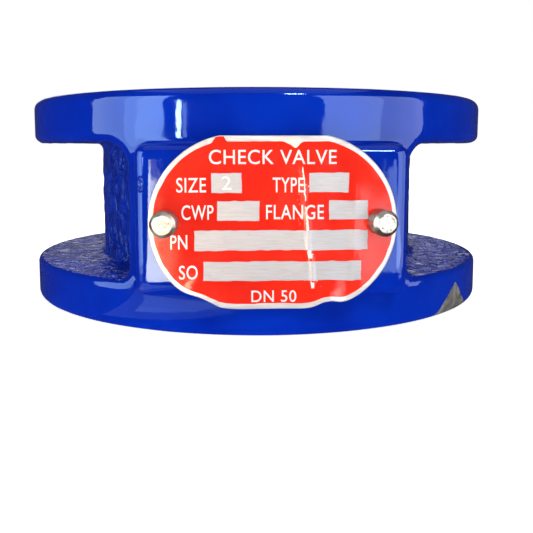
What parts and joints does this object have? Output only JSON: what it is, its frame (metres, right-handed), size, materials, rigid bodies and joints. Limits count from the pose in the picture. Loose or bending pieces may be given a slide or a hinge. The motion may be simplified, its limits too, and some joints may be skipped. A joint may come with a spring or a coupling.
{
  "type": "wafer check valve",
  "caption": "Dual-plate wafer check valve: short round body with two rims, web, nameplate, rubber seat, two hinged half plates, hinge and stop pins and torsion springs.",
  "frame": {"origin": "centre of the inlet gasket face, on the flow axis", "axes": "+Z along the flow, from the inlet face to the outlet face; -Y towards the nameplate; the pins run along Y"},
  "size_m": [0.102, 0.1073, 0.043],
  "materials": {
    "blue_enamel": "gloss",
    "seat_rubber": "matte",
    "plate_steel": "satin",
    "pin_steel": "satin",
    "spring_steel": "polished",
    "washer_steel": "satin",
    "plug_steel": "satin",
    "seal_copper": "satin",
    "nameplate_enamel": "gloss",
    "rivet_steel": "satin"
  },
  "bodies": {
    "casing": {"body": "blue_enamel", "seat_ring": "seat_rubber", "hinge_pin": "pin_steel", "stop_pin": "pin_steel", "front_body_washer": "washer_steel", "rear_body_washer": "washer_steel", "front_plate_washer": "washer_steel", "rear_plate_washer": "washer_steel", "front_spring_washer": "washer_steel", "rear_spring_washer": "washer_steel", "spring_spacer": "washer_steel", "hinge_pin_plug": "plug_steel", "stop_pin_plug": "plug_steel", "hinge_plug_seal": "seal_copper", "stop_plug_seal": "seal_copper", "nameplate": "nameplate_enamel", "left_rivet": "rivet_steel", "right_rivet": "rivet_steel", "left_spring": "spring_steel", "right_spring": "spring_steel"},
    "left_plate": {"left_disc": "plate_steel"},
    "right_plate": {"right_disc": "plate_steel"}
  },
  "joints": [
    {"name": "left_plate_hinge", "type": "hinge", "parent": "casing", "child": "left_plate", "pos_m": [0, 0, 0.01955], "axis": [0, 1, 0], "range_deg": [0, 80], "stiffness_Nm_per_rad": 0.02, "springref_deg": -85.94, "deforming": ["left_spring"]},
    {"name": "right_plate_hinge", "type": "hinge", "parent": "casing", "child": "right_plate", "pos_m": [0, 0, 0.01955], "axis": [0, -1, 0], "range_deg": [0, 80], "stiffness_Nm_per_rad": 0.02, "springref_deg": -85.94, "deforming": ["right_spring"]}
  ]
}
